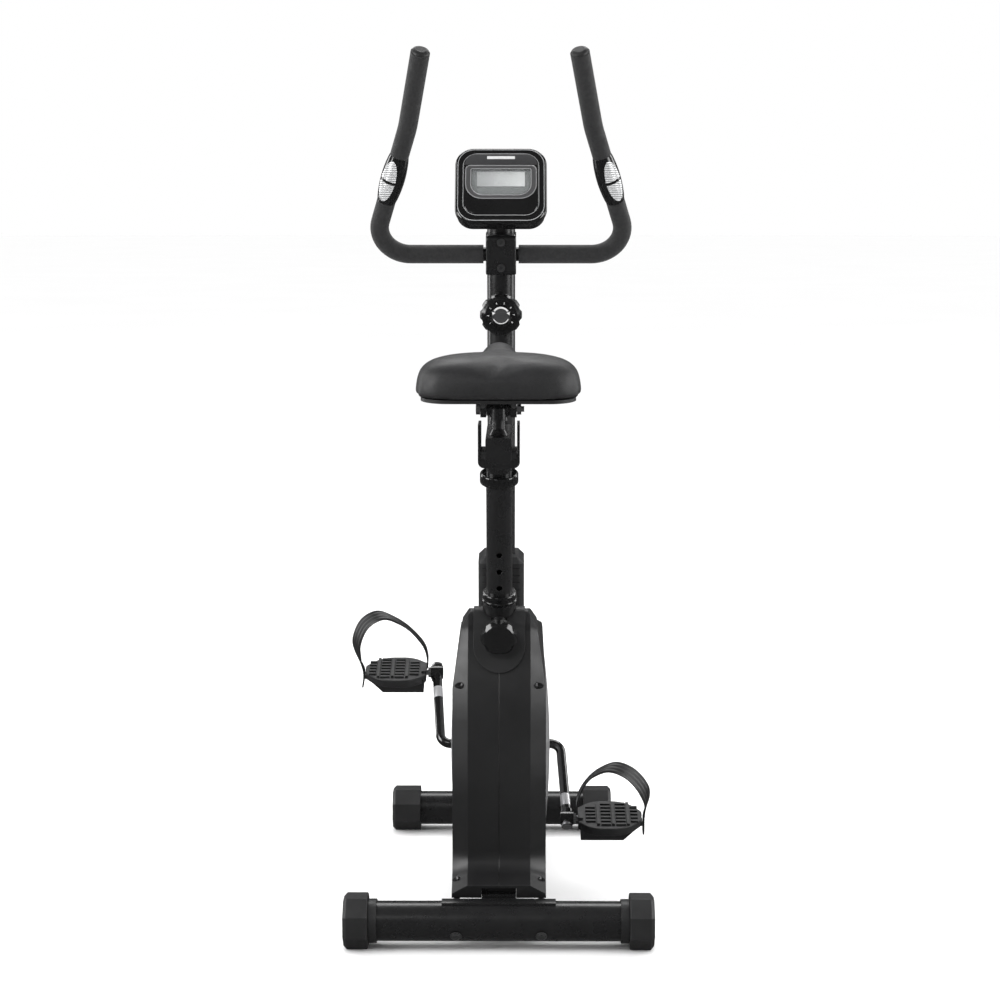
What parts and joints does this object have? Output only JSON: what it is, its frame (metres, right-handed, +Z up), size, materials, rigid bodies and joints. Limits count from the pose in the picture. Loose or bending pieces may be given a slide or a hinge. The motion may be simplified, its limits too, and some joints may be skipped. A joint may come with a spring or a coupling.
{
  "type": "exercise bike",
  "caption": "Upright magnetic exercise bike with enclosed drive, bent crank and strapped pedals, height-adjustable saddle, swept-up foam handlebar, console and tension dial.",
  "frame": {"origin": "on the floor under the middle of the bike's bounding box", "axes": "+Y towards the bike's front, +X towards the rider's right, +Z up"},
  "size_m": [0.4645, 0.8055, 1.3079],
  "materials": {
    "frame_paint": "satin black powder coat",
    "gloss_paint": "gloss black paint",
    "shell_plastic": "fine satin black ABS",
    "trim_plastic": "gloss black plastic",
    "cap_plastic": "moulded black PVC",
    "silver_plastic": "silver painted plastic",
    "steel": "zinc plated steel",
    "dark_steel": "blackened steel",
    "iron": "turned cast iron",
    "bar_foam": "matte closed-cell foam",
    "saddle_vinyl": "matte black vinyl over foam",
    "belt_rubber": "ribbed rubber",
    "strap_rubber": "flexible black PVC",
    "sensor_metal": "ribbed bright metal",
    "lens": "clear polycarbonate",
    "display": "grey liquid crystal display"
  },
  "bodies": {
    "frame": {"main_frame": "frame_paint", "rear_stabiliser": "frame_paint", "front_stabiliser": "frame_paint", "frame_fasteners": "dark_steel", "rear_cap_sleeves": "cap_plastic", "front_caps": "cap_plastic", "left_shell": "shell_plastic", "right_shell": "shell_plastic", "shell_screws": "dark_steel", "seat_tube_cover": "shell_plastic", "neck_cover": "shell_plastic", "disc_covers": "silver_plastic", "crank_bearings": "steel", "flywheel_axle": "steel", "drive_belt": "belt_rubber", "seat_bush": "trim_plastic", "handlebar_post": "frame_paint", "clamp_cover": "frame_paint", "clamp_bolts": "dark_steel", "tension_knob_base": "trim_plastic", "tension_cable": "belt_rubber", "console_back": "trim_plastic", "console_front": "trim_plastic", "console_window": "lens", "lcd_panel": "display", "battery_cover": "trim_plastic"},
    "rear_left_foot": {"rear_left_cap": "cap_plastic"},
    "rear_right_foot": {"rear_right_cap": "cap_plastic"},
    "left_wheel": {"left_transport_wheel": "cap_plastic"},
    "right_wheel": {"right_transport_wheel": "cap_plastic"},
    "crankset": {"crank": "gloss_paint", "crank_nuts": "steel", "drive_pulley": "cap_plastic", "pedal_spindles": "steel"},
    "left_pedal_body": {"left_pedal": "cap_plastic", "left_pedal_strap": "strap_rubber"},
    "right_pedal_body": {"right_pedal": "cap_plastic", "right_pedal_strap": "strap_rubber"},
    "flywheel_body": {"flywheel": "iron"},
    "idler": {"idler_pulley": "cap_plastic"},
    "magnet_arm": {"magnet_bracket": "steel", "magnets": "dark_steel"},
    "tension_dial": {"tension_knob": "trim_plastic"},
    "pull_pin": {"seat_pin": "steel", "seat_knob": "trim_plastic"},
    "post": {"seat_post": "frame_paint", "slider_guides": "cap_plastic"},
    "lock_ring": {"post_ring": "trim_plastic"},
    "slider": {"slider_tube": "frame_paint", "saddle_clamp": "frame_paint", "saddle_clamp_bolt": "steel"},
    "saddle": {"saddle_jaws": "frame_paint", "saddle_rails": "dark_steel", "saddle_base": "cap_plastic", "saddle_cushion": "saddle_vinyl"},
    "handlebar": {"handlebar_tube": "frame_paint", "handlebar_foam": "bar_foam", "grip_end_plugs": "cap_plastic", "sensor_housings": "trim_plastic", "sensor_plates": "sensor_metal"}
  },
  "joints": [
    {"name": "crank_spin", "type": "hinge", "parent": "frame", "child": "crankset", "pos_m": [0, 0.0385, 0.221], "axis": [1, 0, 0], "continuous": true},
    {"name": "left_pedal_spin", "type": "hinge", "parent": "crankset", "child": "left_pedal_body", "pos_m": [-0.17, 0.13396, 0.31646], "axis": [1, 0, 0], "continuous": true},
    {"name": "right_pedal_spin", "type": "hinge", "parent": "crankset", "child": "right_pedal_body", "pos_m": [0.17, -0.05696, 0.12554], "axis": [1, 0, 0], "continuous": true},
    {"name": "flywheel_spin", "type": "hinge", "parent": "frame", "child": "flywheel_body", "pos_m": [0, 0.1345, 0.168], "axis": [1, 0, 0], "continuous": true},
    {"name": "idler_spin", "type": "hinge", "parent": "frame", "child": "idler", "pos_m": [0.033, 0.0945, 0.1279], "axis": [1, 0, 0], "continuous": true},
    {"name": "tension_dial_turn", "type": "hinge", "parent": "frame", "child": "tension_dial", "pos_m": [0, 0.13976, 0.8987], "axis": [0, -0.9962, -0.0872], "range_deg": [0, 280]},
    {"name": "magnet_arm_swing", "type": "hinge", "parent": "frame", "child": "magnet_arm", "pos_m": [-0.025, 0.0745, 0.264], "axis": [1, 0, 0], "range_deg": [0, 8]},
    {"name": "pull_pin_slide", "type": "slide", "parent": "frame", "child": "pull_pin", "axis": [0, -0.9659, -0.2588], "range_m": [0, 0.01], "stiffness_N_per_m": 1200, "springref_m": -0.006},
    {"name": "seat_post_slide", "type": "slide", "parent": "frame", "child": "post", "axis": [0, -0.2588, 0.9659], "range_m": [-0.106, 0.106]},
    {"name": "lock_ring_turn", "type": "hinge", "parent": "post", "child": "lock_ring", "pos_m": [0, -0.22661, 0.6808], "axis": [0, -0.2588, 0.9659], "range_deg": [-90, 90]},
    {"name": "saddle_slide", "type": "slide", "parent": "post", "child": "slider", "axis": [0, 1, 0], "range_m": [-0.025, 0.035]},
    {"name": "saddle_tilt", "type": "hinge", "parent": "slider", "child": "saddle", "pos_m": [0, -0.3235, 0.7895], "axis": [1, 0, 0], "range_deg": [-10, 10]},
    {"name": "handlebar_tilt", "type": "hinge", "parent": "frame", "child": "handlebar", "pos_m": [0, 0.13795, 0.99391], "axis": [1, 0, 0], "range_deg": [-20, 20]},
    {"name": "rear_left_foot_turn", "type": "hinge", "parent": "frame", "child": "rear_left_foot", "pos_m": [-0.208, -0.2975, 0.038], "axis": [1, 0, 0], "range_deg": [-180, 180]},
    {"name": "rear_right_foot_turn", "type": "hinge", "parent": "frame", "child": "rear_right_foot", "pos_m": [0.208, -0.2975, 0.038], "axis": [1, 0, 0], "range_deg": [-180, 180]},
    {"name": "left_wheel_spin", "type": "hinge", "parent": "frame", "child": "left_wheel", "pos_m": [-0.16, 0.3835, 0.022], "axis": [1, 0, 0], "continuous": true},
    {"name": "right_wheel_spin", "type": "hinge", "parent": "frame", "child": "right_wheel", "pos_m": [0.16, 0.3835, 0.022], "axis": [1, 0, 0], "continuous": true}
  ],
  "couplings": [
    {"joint": "flywheel_spin", "follows": "crank_spin", "ratio": 5},
    {"joint": "idler_spin", "follows": "crank_spin", "ratio": -5},
    {"joint": "magnet_arm_swing", "follows": "tension_dial_turn", "ratio": 0.028571}
  ]
}
